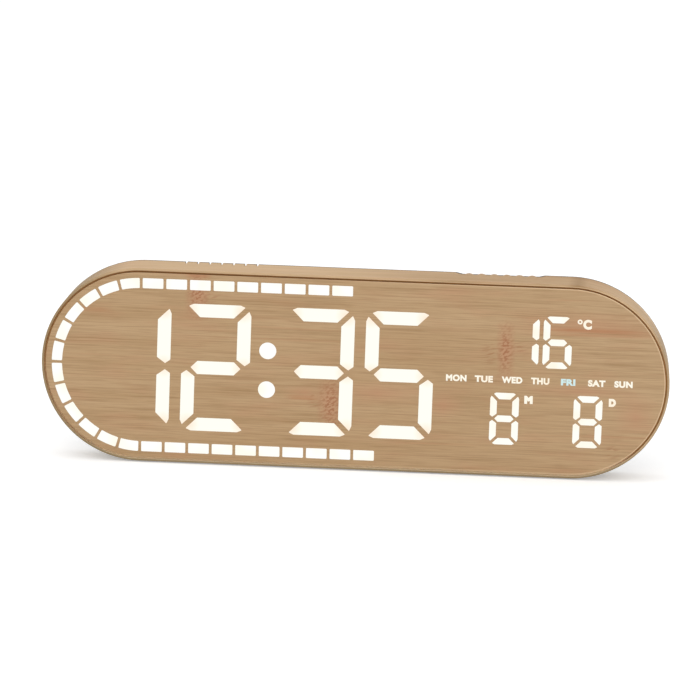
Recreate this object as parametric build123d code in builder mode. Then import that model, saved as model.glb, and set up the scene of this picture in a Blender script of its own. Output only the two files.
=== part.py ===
from build123d import *
import os
from math import degrees, radians, sqrt, tan

os.makedirs("parts", exist_ok=True)

# Capsule-shaped LED desk clock, in millimetres.
# +X is to the right seen from the front, +Y points to the back, +Z up.
# The origin is at the bottom centre, on the surface that the rubber pads stand on.

# Case
case_length = 380.0
case_height = 120.0
case_depth = 23.5
end_draft = 1.5             # each end draws in by this much from the front to the back
wall = 2.4
rim_width = 1.35            # front edge of the frame that shows round the panel
panel_gap = 1.1             # dark line between panel and frame
ledge_width = 1.8           # overlap of the panel on the frame's inner ledge
ledge_thickness = 1.5
front_edge_round = 0.5
rim_edge_round = 0.3        # inner edge of the rim, beside the gap
rear_edge_round = 1.5
cover_thickness = 2.5
lip_depth = 1.5             # locating lip of the rear cover inside the frame
lip_thickness = 1.5
fit_clearance = 0.2         # between moulded pieces that locate each other
cut_over = 2.0              # how far a cutter runs past the face that it cuts

# Rubber pads under the case
pad_height = 0.8
pad_width = 17.0
long_pad_length = 46.0
short_pad_length = 7.0
long_pad_x = 33.0
short_pad_x = 121.0
pad_round = 2.0

# Front panel stack
panel_sunk = 0.2            # film behind the rim's front
film_thickness = 0.3
film_edge_round = 0.2
plate_thickness = 1.7
diffuser_thickness = 0.3
mask_depth = 5.8
mask_edge_clearance = 0.6
board_thickness = 1.6
window_clearance = 0.05

# Big seven-segment digits of the time
time_middle_x = -52.9
time_middle_z = -0.2        # from the middle of the face
time_near = 31.35           # from the colon to the middle of the next digit
time_pitch = 48.35
time_width = 41.6
time_height = 79.1
time_stroke = 8.2
time_gap = 3.3
time_tip = 1.3
time_waist = 3.7
segment_round = 0.35
colon_radius = 5.2
colon_half_pitch = 12.1

# Small seven-segment digits of the temperature and the date
small_width = 17.4
small_height = 32.3
small_stroke = 4.1
small_gap = 1.75
small_tip = 0.75
small_waist = 2.0
small_pitch = 19.8
temperature_x = 122.0
temperature_z = 24.1
date_z = -24.4
month_x = 90.85
day_x = 141.15
small_round = 0.3

# How the strokes of both sizes are shaped, as shares of the stroke's width
slant_share = 0.018
tip_run_share = 0.37
waist_inset_share = 0.384
waist_slope_share = 0.74
middle_inset_share = 0.68

# Weekday names, printed on the film over their own light cavities
label_middle_x = 111.95
label_pitch = 16.82
label_width = 12.6
label_height = 4.2
caption_size = 5.2
caption_offset_x = 14.5     # the M and D captions, right of their digit
caption_offset_z = 12.4

# Seconds marks round the edge of the face
mark_track_radius = 50.9
mark_straight = 258.1
mark_shift = -0.8
mark_length = 12.6
mark_height = 6.3
mark_round = 0.6
marks_per_side = 18
marks_per_end = 12
lit_top_marks = 9
lit_bottom_marks = 10

# Electronics
led_size = 2.4
led_height = 0.8
chip_size = 10.0
chip_height = 1.6
crystal_length = 8.0
crystal_width = 3.0
crystal_height = 3.5
sounder_radius = 6.0
sounder_height = 7.0
sounder_hole_radius = 1.0
sensor_bead_radius = 1.3
sensor_lead_radius = 0.3
sensor_lead_pitch = 1.2
sensor_lead_length = 6.0
connector_width = 11.0
connector_height = 6.0
connector_depth = 4.5
board_screw_radius = 1.1
board_screw_head_radius = 2.1
board_screw_head_height = 1.3
board_screw_length = 5.0
board_screw_left_x = -163.6
board_screw_inner_x = 62.6
board_screw_right_x = 161.4
thread_clearance = 0.05

# Buttons in the recess at the back of the top edge
button_count = 6
button_middle_x = 85.5
button_pitch = 7.6
button_width = 5.4
button_depth = 3.0
button_from_front = 20.05
button_sunk = 0.15          # below the case's top edge
button_dome = 0.9
button_side_clearance = 0.15
button_flange_width = 6.6
button_flange_height = 0.8
button_flange_gap = 0.1
recess_half_length = 25.2
recess_from_front = 17.1
recess_depth = 1.2
recess_ramp = 2.2           # each end of the recess slopes by this much either side of its half length
shelf_thickness = 1.6
switch_width = 6.0
switch_depth = 3.6
switch_height = 3.5
plunger_radius = 1.4
plunger_reach = 0.8
plunger_clearance = 0.08
plunger_sunk = 1.0
button_board_thickness = 1.2
button_board_depth = 8.0
button_board_overhang = 3.5
bracket_width = 4.0
bracket_height = 7.0
bracket_grip = 1.5
switch_pocket = 1.1
switch_bore_depth = 1.5
button_edge_round = 0.3
ribbon_width = 8.0
ribbon_thickness = 0.8
ribbon_drop = 10.0
ribbon_bend = 3.0

# Sound and air slots at the back of the top edge
vent_count = 7
vent_middle_x = -83.3
vent_pitch = 7.2
vent_width = 1.2
vent_from_front = 17.5
vent_height = 9.0

# Case screws, countersunk
case_screw_radius = 1.45
case_screw_head_radius = 2.75
case_screw_length = 9.0
case_screw_hole_clearance = 0.25
case_screw_sunk = 0.1
case_screw_cone_angle = 41.0
boss_radius = 3.5
boss_inset = 8.5            # boss middle in from the case's outline
boss_depth = 8.5
boss_web = 2.5
screw_near_x = 35.0
screw_far_x = 122.0
cross_slot_length = 3.0
cross_slot_width = 0.7
cross_slot_depth = 0.9

# Posts of the rear cover that clamp the light stack
post_radius = 2.5
post_x = 150.0
post_z = 18.0
middle_post_z = 40.0

# Wall keyholes in the rear cover
keyhole_x = 90.0
keyhole_z = 27.0
keyhole_head_radius = 4.3
keyhole_slot_width = 4.4
keyhole_slot_length = 9.0
keyhole_pocket_depth = 4.3
keyhole_pocket_margin = 1.4
pocket_wall = 1.2

# Coin cell behind a quarter-turn cap
cell_radius = 10.0
cell_thickness = 3.2
cell_x = -42.0
cell_z = -22.0
cell_clearance = 0.3
cell_round = 0.3
cap_radius = 12.2
cap_thickness = 1.2
cap_clearance = 0.2
skirt_radius = 11.0
skirt_thickness = 0.6
lug_radius = 12.3
lug_thickness = 0.8
lug_angle = 40.0
bayonet_ledge = 0.9
bayonet_turn = 70.0
entry_angle = 52.0
coin_slot_length = 14.0
coin_slot_width = 1.8
coin_slot_depth = 0.7
contact_thickness = 0.3
contact_width = 3.0
contact_clearance = 0.05
strip_length = 12.0

# Power inlet, a small upright socket on the light board
socket_x = 28.0
socket_z = -30.0
socket_width = 9.0
socket_height = 3.3
socket_corner = 1.3
socket_shell = 0.3
socket_tongue_width = 6.6
socket_tongue_thickness = 0.7
socket_base_depth = 3.0
inlet_width = 14.0
inlet_height = 8.0
inlet_depth = 4.5
inlet_round = 2.0

# Swing-out feet in the rear cover
foot_pivot_x = 112.0
foot_length = 46.0
foot_height = 12.0
foot_thickness = 3.2
foot_floor_gap = 0.4
foot_pivot_from_back = 2.9
foot_sunk = 0.3             # folded foot behind the cover's outer face
foot_side_clearance = 0.4
foot_barrel_radius = 2.6
foot_grip_length = 6.0
foot_tip_round = 2.0
hinge_pin_radius = 1.25
hinge_pin_clearance = 0.06
hinge_lug_height = 2.3
hinge_lug_radius = 2.9
hinge_roof = 3.0
foot_cup_wall = 1.6
hinge_pin_sunk = 0.2
hinge_pin_in_roof = 2.2

# Places of the parts on the back of the light board, from the middle of the face
chip_x = 10.0
chip_z = 5.0
chip_bevel = 0.3
crystal_x = 24.0
crystal_round_share = 0.2
sounder_x = -60.0
sounder_z = 38.0
sounder_round = 0.6
sounder_hole_depth = 2.0
sensor_x = -104.0
sensor_z = 44.0
ribbon_x = 72.0
socket_tongue_sunk = 1.0

# Places worked out from the sizes above; depths count from the face, x and z from its middle
case_radius = case_height / 2
half_straight = case_length / 2 - case_radius
middle_z = pad_height + case_radius
front_y = -case_depth / 2
frame_depth = case_depth - cover_thickness
inner_radius = case_radius - wall
panel_radius = case_radius - rim_width - panel_gap
ledge_radius = panel_radius - ledge_width
panel_depth = panel_sunk + film_thickness + plate_thickness
ledge_back = panel_depth + ledge_thickness
mask_front = panel_depth + diffuser_thickness
board_front = mask_front + mask_depth
board_back = board_front + board_thickness
mask_radius = ledge_radius - mask_edge_clearance
board_radius = mask_radius - mask_edge_clearance

shelf_top = case_radius - recess_depth
shelf_bottom = shelf_top - shelf_thickness
recess_floor_half = recess_half_length - recess_ramp
recess_mouth_half = recess_half_length + recess_ramp
flange_top = shelf_bottom - button_flange_gap
flange_bottom = flange_top - button_flange_height
switch_top = flange_bottom - plunger_reach
switch_bottom = switch_top - switch_height
button_board_bottom = switch_bottom - button_board_thickness
button_board_half = (button_count - 1) / 2 * button_pitch + switch_width / 2 + button_board_overhang
pocket_depth = frame_depth + switch_pocket
button_board_back = pocket_depth - button_side_clearance
bracket_x = button_board_half - bracket_grip + bracket_width / 2
connector_z = button_board_bottom - ribbon_drop
ribbon_depth = button_board_back - button_board_depth / 2

cap_recess_back = case_depth - cap_thickness
ledge_front = cap_recess_back - bayonet_ledge
lug_back = ledge_front - cap_clearance / 2
lug_front = lug_back - lug_thickness
groove_front = lug_front - cap_clearance
cell_back = cap_recess_back - cell_clearance
cell_front = cell_back - cell_thickness
cell_floor = cell_front - contact_thickness
cell_cup_front = cell_floor - pocket_wall
groove_radius = lug_radius + cap_clearance
cap_front = cap_recess_back + cap_clearance / 2
strip_leg_x = cell_x - strip_length / 2
leaf_x = cell_x + cell_radius + contact_clearance + contact_thickness / 2
contact_places = [(strip_leg_x, cell_z), (leaf_x, cell_z)]
entry_starts = [lug - bayonet_turn - entry_angle / 2 for lug in (0, 180)]

keyhole_pocket_radius = keyhole_head_radius + keyhole_pocket_margin
keyhole_entry_places = [(-keyhole_x, keyhole_z), (keyhole_x, keyhole_z)]
keyhole_middle_places = [(x, z + keyhole_slot_length / 2) for x, z in keyhole_entry_places]
post_places = [(x, z) for x in (-post_x, post_x) for z in (-post_z, post_z)]
post_places += [(0, -middle_post_z), (0, middle_post_z)]
inlet_floor = case_depth - inlet_depth
socket_mouth = inlet_floor - fit_clearance

foot_pivot_depth = case_depth - foot_pivot_from_back
foot_back = case_depth - foot_sunk
foot_front = foot_back - foot_thickness
foot_bottom = foot_floor_gap - middle_z
foot_top = foot_bottom + foot_height
foot_recess_front = foot_front - foot_side_clearance
foot_recess_top = foot_top + foot_side_clearance
foot_cup_front = foot_recess_front - foot_cup_wall
barrel_room = foot_barrel_radius + foot_side_clearance
barrel_cup_front = foot_pivot_depth - barrel_room - foot_cup_wall
lug_top = hinge_lug_height - case_radius
barrel_bottom = lug_top + foot_side_clearance
foot_room = foot_length + foot_side_clearance + foot_grip_length
foot_roof_top = foot_recess_top + hinge_roof
foot_cut_height = foot_recess_top + case_radius + cut_over
foot_cut_z = foot_recess_top - foot_cut_height / 2
hinge_pin_bottom = hinge_pin_sunk - case_radius
hinge_pin_top = foot_recess_top + hinge_pin_in_roof
hinge_places = [(side * foot_pivot_x, front_y + foot_pivot_depth) for side in (-1, 1)]
foot_cups = [       # front depth, half length and middle of each box round a foot's recess
    (foot_cup_front, (foot_room + barrel_room) / 2 + foot_cup_wall, foot_pivot_x - (foot_room - barrel_room) / 2),
    (barrel_cup_front, barrel_room + foot_cup_wall, foot_pivot_x),
]
case_screw_cone_height = (case_screw_head_radius - case_screw_radius) / tan(radians(case_screw_cone_angle))
button_top = case_radius - button_sunk
button_shoulder = button_top - button_dome


def level(depth):
    """Plane behind the face by the given depth, looking out of the front, centred on the face."""
    return Plane(origin=(0, front_y + depth, middle_z), x_dir=(1, 0, 0), z_dir=(0, -1, 0))


def straight_at(depth):
    """Half the straight length of the outline at a depth, which shortens towards the back."""
    return half_straight - end_draft * depth / case_depth


def capsule(half_length, radius, mode=Mode.ADD):
    """Capsule outline, as a slot in the current sketch."""
    SlotCenterToCenter(2 * half_length, 2 * radius, mode=mode)


def row_of(count, middle, pitch):
    """Evenly spaced places about a middle."""
    return [middle + (i - (count - 1) / 2) * pitch for i in range(count)]


def stroke_outline(name, width, height, stroke, gap, tip, waist):
    """Corner points of one of the seven strokes a to g, about the middle of the digit."""
    x, z = width / 2, height / 2
    mitre = gap / sqrt(2)
    run = stroke * tip_run_share
    inset = stroke * waist_inset_share
    half = stroke / 2
    if name in "ad":
        side = [(x - stroke - mitre, z - stroke), (x - tip - mitre, z - tip), (x - tip - mitre - run, z)]
        points = side + [(-px, pz) for px, pz in reversed(side)]
    elif name == "g":
        reach = x - stroke * middle_inset_share
        side = [(reach - half, half), (reach, 0), (reach - half, -half)]
        points = side + [(-px, -pz) for px, pz in side]
    else:
        points = [
            (x - stroke, z - stroke - mitre),
            (x - tip, z - tip - mitre),
            (x, z - tip - mitre - run),
            (x, waist / 2 + inset * waist_slope_share),
            (x - inset, waist / 2),
            (x - stroke, waist / 2 + (stroke - inset) * waist_slope_share),
        ]
    if name in "cde":
        points = [(px, -pz) for px, pz in points]
    if name in "ef":
        points = [(-px, pz) for px, pz in points]
    return [(px + slant_share * pz, pz) for px, pz in points]


def digit_faces(strokes, x, z, *sizes):
    """Faces of the named strokes of one digit."""
    faces = []
    for name in strokes:
        points = [(x + px, z + pz) for px, pz in stroke_outline(name, *sizes)]
        faces.append(Polygon(*points, align=None, mode=Mode.PRIVATE))
    return faces


def sector_face(centre, inner_radius, outer_radius, start, size):
    """Face of a piece of a ring."""
    with BuildSketch(mode=Mode.PRIVATE) as sector:
        with BuildLine():
            outer = CenterArc(centre, outer_radius, start, size)
            inner = CenterArc(centre, inner_radius, start, size)
            Line(outer @ 0, inner @ 0)
            Line(outer @ 1, inner @ 1)
        make_face()
    return sector.sketch.face()


def mark_face(index):
    """Face of one seconds mark; they count anticlockwise from the right end of the top straight."""
    half_track = mark_straight / 2
    pitch = mark_straight / marks_per_side
    side, step = divmod(index, marks_per_side + marks_per_end)
    flip = 1 - 2 * side
    if step < marks_per_side:
        x = mark_shift + flip * (half_track - (step + 0.5) * pitch)
        with BuildSketch(mode=Mode.PRIVATE) as mark:
            with Locations((x, flip * mark_track_radius)):
                Rectangle(mark_length, mark_height)
        return mark.sketch.face()
    turn = 180 / marks_per_end
    gap_angle = degrees((pitch - mark_length) / mark_track_radius)
    start = 90 + 180 * side + (step - marks_per_side) * turn + gap_angle / 2
    centre = (mark_shift - flip * half_track, 0)
    half = mark_height / 2
    return sector_face(centre, mark_track_radius - half, mark_track_radius + half, start, turn - gap_angle)


button_places = row_of(button_count, button_middle_x, button_pitch)
recess_side = [
    (recess_floor_half, shelf_top),
    (recess_mouth_half, case_radius),
    (recess_mouth_half, case_radius + cut_over),
]
recess_outline = recess_side + [(-x, z) for x, z in reversed(recess_side)]
vent_places = row_of(vent_count, vent_middle_x, vent_pitch)
screw_end_x = straight_at(frame_depth) + case_radius - boss_inset
case_screw_places = [
    (x, z)
    for x in (-screw_far_x, -screw_near_x, screw_near_x, screw_far_x)
    for z in (boss_inset - case_radius, case_radius - boss_inset)
]
case_screw_places += [(-screw_end_x, 0), (screw_end_x, 0)]
time_sizes = (time_width, time_height, time_stroke, time_gap, time_tip, time_waist)
small_sizes = (small_width, small_height, small_stroke, small_gap, small_tip, small_waist)
all_strokes = "abcdefg"
lit_time = ["bc", "abged", "abgcd", "afgcd"]
time_places = [
    time_middle_x - time_near - time_pitch,
    time_middle_x - time_near,
    time_middle_x + time_near,
    time_middle_x + time_near + time_pitch,
]
colon_places = [
    (time_middle_x + slant_share * z, time_middle_z + z) for z in (-colon_half_pitch, colon_half_pitch)
]
label_places = row_of(len(["MON", "TUE", "WED", "THU", "FRI", "SAT", "SUN"]), label_middle_x, label_pitch)
mark_count = 2 * (marks_per_side + marks_per_end)
first_lit_mark = marks_per_side - lit_top_marks
lit_marks = range(first_lit_mark, marks_per_side + marks_per_end + lit_bottom_marks)

# Shapes of the lit windows, one sketch for each display, seen from the front
with BuildSketch() as time_shapes:
    for strokes, x in zip(lit_time, time_places):
        add(digit_faces(strokes, x, time_middle_z, *time_sizes))
    fillet(time_shapes.vertices(), segment_round)

with BuildSketch() as colon_shapes:
    with Locations(*colon_places):
        Circle(colon_radius)

with BuildSketch() as mark_shapes:
    add([mark_face(index) for index in lit_marks])
    fillet(mark_shapes.vertices(), mark_round)

with BuildSketch() as temperature_shapes:
    add(digit_faces("bc", temperature_x - small_pitch, temperature_z, *small_sizes))
    add(digit_faces("acdefg", temperature_x, temperature_z, *small_sizes))
    fillet(temperature_shapes.vertices(), small_round)

with BuildSketch() as month_shapes:
    add(digit_faces(all_strokes, month_x, date_z, *small_sizes))
    fillet(month_shapes.vertices(), small_round)

with BuildSketch() as day_shapes:
    add(digit_faces(all_strokes, day_x, date_z, *small_sizes))
    fillet(day_shapes.vertices(), small_round)

displays = {
    "time_digits": time_shapes,
    "colon_dots": colon_shapes,
    "seconds_ring": mark_shapes,
    "temperature_digits": temperature_shapes,
    "month_digit": month_shapes,
    "day_digit": day_shapes,
}

# Every stroke and mark that the light stack can light, lit now or not
small_places = [(temperature_x, temperature_z), (month_x, date_z), (day_x, date_z)]
caption_places = [(x + caption_offset_x, z + caption_offset_z) for x, z in small_places]
cavity_faces = [mark_face(index) for index in range(mark_count)]
for x in time_places:
    cavity_faces += digit_faces(all_strokes, x, time_middle_z, *time_sizes)
for x, z in small_places:
    for place in (x - small_pitch, x):
        cavity_faces += digit_faces(all_strokes, place, z, *small_sizes)
with BuildSketch() as word_cavities:
    with Locations(*[(x, 0) for x in label_places]):
        Rectangle(label_width, label_height)
    with Locations(*caption_places):
        Rectangle(caption_size, caption_size)
    with Locations(*colon_places):
        Circle(colon_radius)
cavity_faces += word_cavities.sketch.faces()

# Face: film and plate with the windows, and what fills them
with BuildSketch() as window_shapes:
    for shapes in displays.values():
        add(shapes.sketch)

with BuildPart() as face_film:
    with BuildSketch(level(panel_sunk + film_thickness)):
        capsule(half_straight, panel_radius)
        add(window_shapes.sketch, mode=Mode.SUBTRACT)
    extrude(amount=film_thickness)
    fillet(face_film.faces().sort_by(Axis.Y)[0].outer_wire().edges(), film_edge_round)

with BuildPart() as front_plate:
    with BuildSketch(level(panel_depth)):
        capsule(half_straight, panel_radius)
        add(window_shapes.sketch, mode=Mode.SUBTRACT)
    extrude(amount=plate_thickness)

window_pieces = {}
for node, shapes in displays.items():
    with BuildPart() as window_piece:
        with BuildSketch(level(panel_depth)):
            add(shapes.sketch)
            offset(amount=-window_clearance)
        extrude(amount=panel_depth - panel_sunk)
    window_pieces[node] = window_piece

with BuildPart() as diffuser_sheet:
    with BuildSketch(level(mask_front)):
        capsule(half_straight, mask_radius)
    extrude(amount=diffuser_thickness)

# Light mask: one cavity behind each stroke, dot, mark and word
board_screw_places = [
    (board_screw_left_x, 0),
    (time_middle_x - time_near - time_pitch / 2, 0),
    (time_middle_x, 0),
    (time_middle_x + time_near + time_pitch / 2, 0),
]
board_screw_places += [(x, z) for x in (board_screw_inner_x, board_screw_right_x) for z in (date_z, temperature_z)]

with BuildPart() as light_mask:
    with BuildSketch(level(board_front)):
        capsule(half_straight, mask_radius)
        add(cavity_faces, mode=Mode.SUBTRACT)
    extrude(amount=mask_depth)
    with BuildSketch(level(board_front)):
        with Locations(*board_screw_places):
            Circle(board_screw_radius + thread_clearance)
    extrude(amount=board_screw_length, mode=Mode.SUBTRACT)

with BuildPart() as led_board:
    with BuildSketch(level(board_back)):
        capsule(half_straight, board_radius)
        with Locations(*board_screw_places):
            Circle(board_screw_radius + thread_clearance, mode=Mode.SUBTRACT)
    extrude(amount=board_thickness)

with BuildPart() as board_screws:
    with BuildSketch(level(board_back + board_screw_head_height)):
        with Locations(*board_screw_places):
            Circle(board_screw_head_radius)
    extrude(amount=board_screw_head_height)
    with BuildSketch(level(board_back)):
        with Locations(*board_screw_places):
            Circle(board_screw_radius)
    extrude(amount=board_screw_length)

led_groups = {"ring_leds": cavity_faces[:mark_count], "display_leds": cavity_faces[mark_count:]}
led_pieces = {}
for node, faces in led_groups.items():
    with BuildPart() as led_piece:
        with BuildSketch(level(board_front)):
            with Locations(*[(face.center().X, face.center().Y) for face in faces]):
                Rectangle(led_size, led_size)
        extrude(amount=led_height)
    led_pieces[node] = led_piece

# Parts on the back of the light board
with BuildPart() as controller_chip:
    with BuildSketch(level(board_back + chip_height)):
        with Locations((chip_x, chip_z)):
            Rectangle(chip_size, chip_size)
    extrude(amount=chip_height)
    chamfer(controller_chip.edges().group_by(Axis.Y)[-1], chip_bevel)

with BuildPart() as clock_crystal:
    with BuildSketch(level(board_back + crystal_height)):
        with Locations((crystal_x, chip_z)):
            SlotOverall(crystal_length, crystal_width, rotation=90)
    extrude(amount=crystal_height)
    fillet(clock_crystal.edges().group_by(Axis.Y)[-1], crystal_width * crystal_round_share)

with BuildPart() as sounder:
    with BuildSketch(level(board_back + sounder_height)):
        with Locations((sounder_x, sounder_z)):
            Circle(sounder_radius)
    extrude(amount=sounder_height)
    fillet(sounder.edges().group_by(Axis.Y)[-1], sounder_round)
    with BuildSketch(level(board_back + sounder_height)):
        with Locations((sounder_x, sounder_z)):
            Circle(sounder_hole_radius)
    extrude(amount=sounder_hole_depth, mode=Mode.SUBTRACT)

with BuildPart() as temperature_sensor:
    with BuildSketch(level(board_back + sensor_lead_length)):
        with Locations((sensor_x - sensor_lead_pitch / 2, sensor_z), (sensor_x + sensor_lead_pitch / 2, sensor_z)):
            Circle(sensor_lead_radius)
    extrude(amount=sensor_lead_length)
    with Locations(level(board_back + sensor_lead_length) * Pos(sensor_x, sensor_z)):
        Sphere(sensor_bead_radius)

with BuildPart() as board_connector:
    with BuildSketch(level(board_back + connector_depth)):
        with Locations((ribbon_x, connector_z)):
            Rectangle(connector_width, connector_height)
    extrude(amount=connector_depth)
    chamfer(board_connector.edges().group_by(Axis.Y)[-1], chip_bevel)

with BuildPart() as usb_socket:
    with BuildSketch(level(socket_mouth)):
        with Locations((socket_x, socket_z)):
            RectangleRounded(socket_width, socket_height, socket_corner)
    extrude(amount=socket_mouth - board_back)
    with BuildSketch(level(socket_mouth)):
        with Locations((socket_x, socket_z)):
            RectangleRounded(
                socket_width - 2 * socket_shell, socket_height - 2 * socket_shell, socket_corner - socket_shell
            )
            Rectangle(socket_tongue_width, socket_tongue_thickness, mode=Mode.SUBTRACT)
    extrude(amount=socket_mouth - board_back - socket_base_depth, mode=Mode.SUBTRACT)
    with BuildSketch(level(socket_mouth)):
        with Locations((socket_x, socket_z)):
            Rectangle(socket_tongue_width, socket_tongue_thickness)
    extrude(amount=socket_tongue_sunk, mode=Mode.SUBTRACT)

# Frame: the wrapped side wall, the front rim, the ledge that the panel is glued to
with BuildPart() as front_frame:
    with BuildSketch(level(0)):
        capsule(straight_at(0), case_radius)
    with BuildSketch(level(frame_depth)):
        capsule(straight_at(frame_depth), case_radius)
    loft(ruled=True)
    fillet(front_frame.edges().group_by(Axis.Y)[0], front_edge_round)
    with BuildSketch(level(panel_depth)):
        capsule(half_straight, panel_radius + panel_gap)
    extrude(amount=panel_depth + cut_over, mode=Mode.SUBTRACT)
    fillet(front_frame.faces().sort_by(Axis.Y)[0].inner_wires()[0].edges(), rim_edge_round)
    with BuildSketch(level(ledge_back)):
        capsule(half_straight, ledge_radius)
    extrude(amount=ledge_back, mode=Mode.SUBTRACT)
    with BuildSketch(level(ledge_back)):
        capsule(straight_at(ledge_back), inner_radius)
    with BuildSketch(level(case_depth)):
        capsule(straight_at(case_depth), inner_radius)
    loft(ruled=True, mode=Mode.SUBTRACT)
    # Screw bosses, each tied to the wall by a web
    with BuildSketch(level(frame_depth)):
        with Locations(*case_screw_places):
            Circle(boss_radius)
    extrude(amount=boss_depth)
    with BuildSketch(level(frame_depth - lip_depth - fit_clearance)):
        reach = boss_inset - wall / 2
        for x, z in case_screw_places:
            if z == 0:
                with Locations((x + reach / 2 if x > 0 else x - reach / 2, z)):
                    Rectangle(reach, boss_web)
            else:
                with Locations((x, z + reach / 2 if z > 0 else z - reach / 2)):
                    Rectangle(boss_web, reach)
    extrude(amount=boss_depth - lip_depth - fit_clearance)
    with BuildSketch(level(frame_depth)):
        with Locations(*case_screw_places):
            Circle(case_screw_radius + thread_clearance)
    extrude(amount=case_screw_length - cover_thickness + fit_clearance, mode=Mode.SUBTRACT)
    # Notches in the back edge for the button recess, the vents and the feet
    with BuildSketch(level(frame_depth + cut_over)):
        with Locations((button_middle_x, 0)):
            Polygon(*recess_outline, align=None)
        with Locations((button_middle_x, case_radius)):
            Rectangle(2 * recess_floor_half, 2 * (wall + cut_over))
    extrude(amount=frame_depth + cut_over - recess_from_front, mode=Mode.SUBTRACT)
    with BuildSketch(level(frame_depth + cut_over)):
        with Locations(*[(x, case_radius) for x in vent_places]):
            Rectangle(vent_width, 2 * (wall + cut_over))
    extrude(amount=frame_depth + cut_over - vent_from_front, mode=Mode.SUBTRACT)
    for depth, half_length, middle_x in foot_cups:
        with BuildSketch(level(frame_depth + cut_over)):
            with Locations((-middle_x, -case_radius), (middle_x, -case_radius)):
                Rectangle(2 * (half_length + fit_clearance), 2 * (wall + cut_over))
        extrude(amount=frame_depth + cut_over - depth + fit_clearance, mode=Mode.SUBTRACT)

# Rear cover, with the shelf for the buttons and the cups for what sits in it
with BuildPart() as rear_cover:
    with BuildSketch(level(frame_depth)):
        capsule(straight_at(frame_depth), case_radius)
    with BuildSketch(level(case_depth)):
        capsule(straight_at(case_depth), case_radius)
    loft(ruled=True)
    fillet(rear_cover.edges().group_by(Axis.Y)[-1], rear_edge_round)
    with BuildSketch(level(frame_depth)):
        capsule(straight_at(case_depth), inner_radius - fit_clearance)
        capsule(straight_at(case_depth), inner_radius - fit_clearance - lip_thickness, Mode.SUBTRACT)
        with Locations((button_middle_x, case_radius)):
            Rectangle(2 * recess_mouth_half, 2 * (case_radius - flange_bottom + cut_over), mode=Mode.SUBTRACT)
    extrude(amount=lip_depth)
    # Posts that press the light board forward
    with BuildSketch(level(frame_depth)):
        with Locations(*post_places):
            Circle(post_radius)
    extrude(amount=frame_depth - board_back)
    # Cup of the coin cell, keyhole pockets and inlet cup, solid until they are cut
    with BuildSketch(level(frame_depth)):
        with Locations((cell_x, cell_z)):
            Circle(groove_radius + pocket_wall)
    extrude(amount=frame_depth - cell_cup_front)
    with BuildSketch(level(frame_depth)):
        with Locations(*keyhole_middle_places):
            SlotCenterToCenter(keyhole_slot_length, 2 * (keyhole_pocket_radius + pocket_wall), rotation=90)
    extrude(amount=keyhole_pocket_depth + pocket_wall)
    with BuildSketch(level(frame_depth)):
        with Locations((socket_x, socket_z)):
            RectangleRounded(inlet_width + 2 * pocket_wall, inlet_height + 2 * pocket_wall, inlet_round + pocket_wall)
    extrude(amount=frame_depth - inlet_floor + pocket_wall)
    # Shelf under the buttons and the two brackets that hold their board
    with BuildSketch(level(frame_depth)):
        with Locations((button_middle_x, (shelf_top + shelf_bottom) / 2)):
            Rectangle(2 * (recess_floor_half - button_side_clearance), shelf_thickness)
    extrude(amount=frame_depth - recess_from_front - button_side_clearance)
    with BuildSketch(level(frame_depth)):
        for side in (-1, 1):
            with Locations((button_middle_x + side * bracket_x, switch_bottom)):
                Rectangle(bracket_width, bracket_height)
    extrude(amount=frame_depth - button_board_back + button_board_depth - bracket_grip)
    with BuildSketch(level(pocket_depth)):
        with Locations((button_middle_x, switch_bottom - button_board_thickness / 2)):
            Rectangle(
                2 * (button_board_half + button_side_clearance), button_board_thickness + 2 * plunger_clearance
            )
    extrude(amount=button_board_depth + cut_over, mode=Mode.SUBTRACT)
    with BuildSketch(level(pocket_depth)):
        with Locations((button_middle_x, (switch_bottom + shelf_bottom) / 2)):
            Rectangle(2 * (bracket_x - bracket_width / 2), shelf_bottom - switch_bottom)
    extrude(amount=switch_pocket, mode=Mode.SUBTRACT)
    with BuildSketch(level(case_depth + cut_over)):
        with Locations((button_middle_x, 0)):
            Polygon(*recess_outline, align=None)
    extrude(amount=cover_thickness + cut_over, mode=Mode.SUBTRACT)
    with BuildSketch(Plane.XY.offset(middle_z + shelf_bottom - cut_over)):
        with Locations(*[(x, front_y + button_from_front) for x in button_places]):
            Rectangle(button_width + 2 * button_side_clearance, button_depth + 2 * button_side_clearance)
    extrude(amount=shelf_thickness + recess_depth + cut_over, mode=Mode.SUBTRACT)
    # Vents, cut down the back and through the top edge
    with BuildSketch(level(case_depth + cut_over)):
        with Locations(*[(x, case_radius - (vent_height - cut_over) / 2) for x in vent_places]):
            Rectangle(vent_width, vent_height + cut_over)
    extrude(amount=case_depth + cut_over - vent_from_front, mode=Mode.SUBTRACT)
    # Countersunk screw holes
    with BuildSketch(level(case_depth)):
        with Locations(*case_screw_places):
            Circle(case_screw_head_radius + case_screw_hole_clearance)
    extrude(amount=case_screw_cone_height, taper=case_screw_cone_angle, mode=Mode.SUBTRACT)
    with BuildSketch(level(case_depth)):
        with Locations(*case_screw_places):
            Circle(case_screw_radius + case_screw_hole_clearance)
    extrude(amount=cover_thickness, mode=Mode.SUBTRACT)
    # Keyholes: an entry, a narrow slot above it and room behind them for the screw's head
    with BuildSketch(level(case_depth)):
        with Locations(*keyhole_entry_places):
            Circle(keyhole_head_radius)
        with Locations(*keyhole_middle_places):
            SlotCenterToCenter(keyhole_slot_length, keyhole_slot_width, rotation=90)
    extrude(amount=cover_thickness, mode=Mode.SUBTRACT)
    with BuildSketch(level(frame_depth)):
        with Locations(*keyhole_middle_places):
            SlotCenterToCenter(keyhole_slot_length, 2 * keyhole_pocket_radius, rotation=90)
    extrude(amount=keyhole_pocket_depth, mode=Mode.SUBTRACT)
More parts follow.
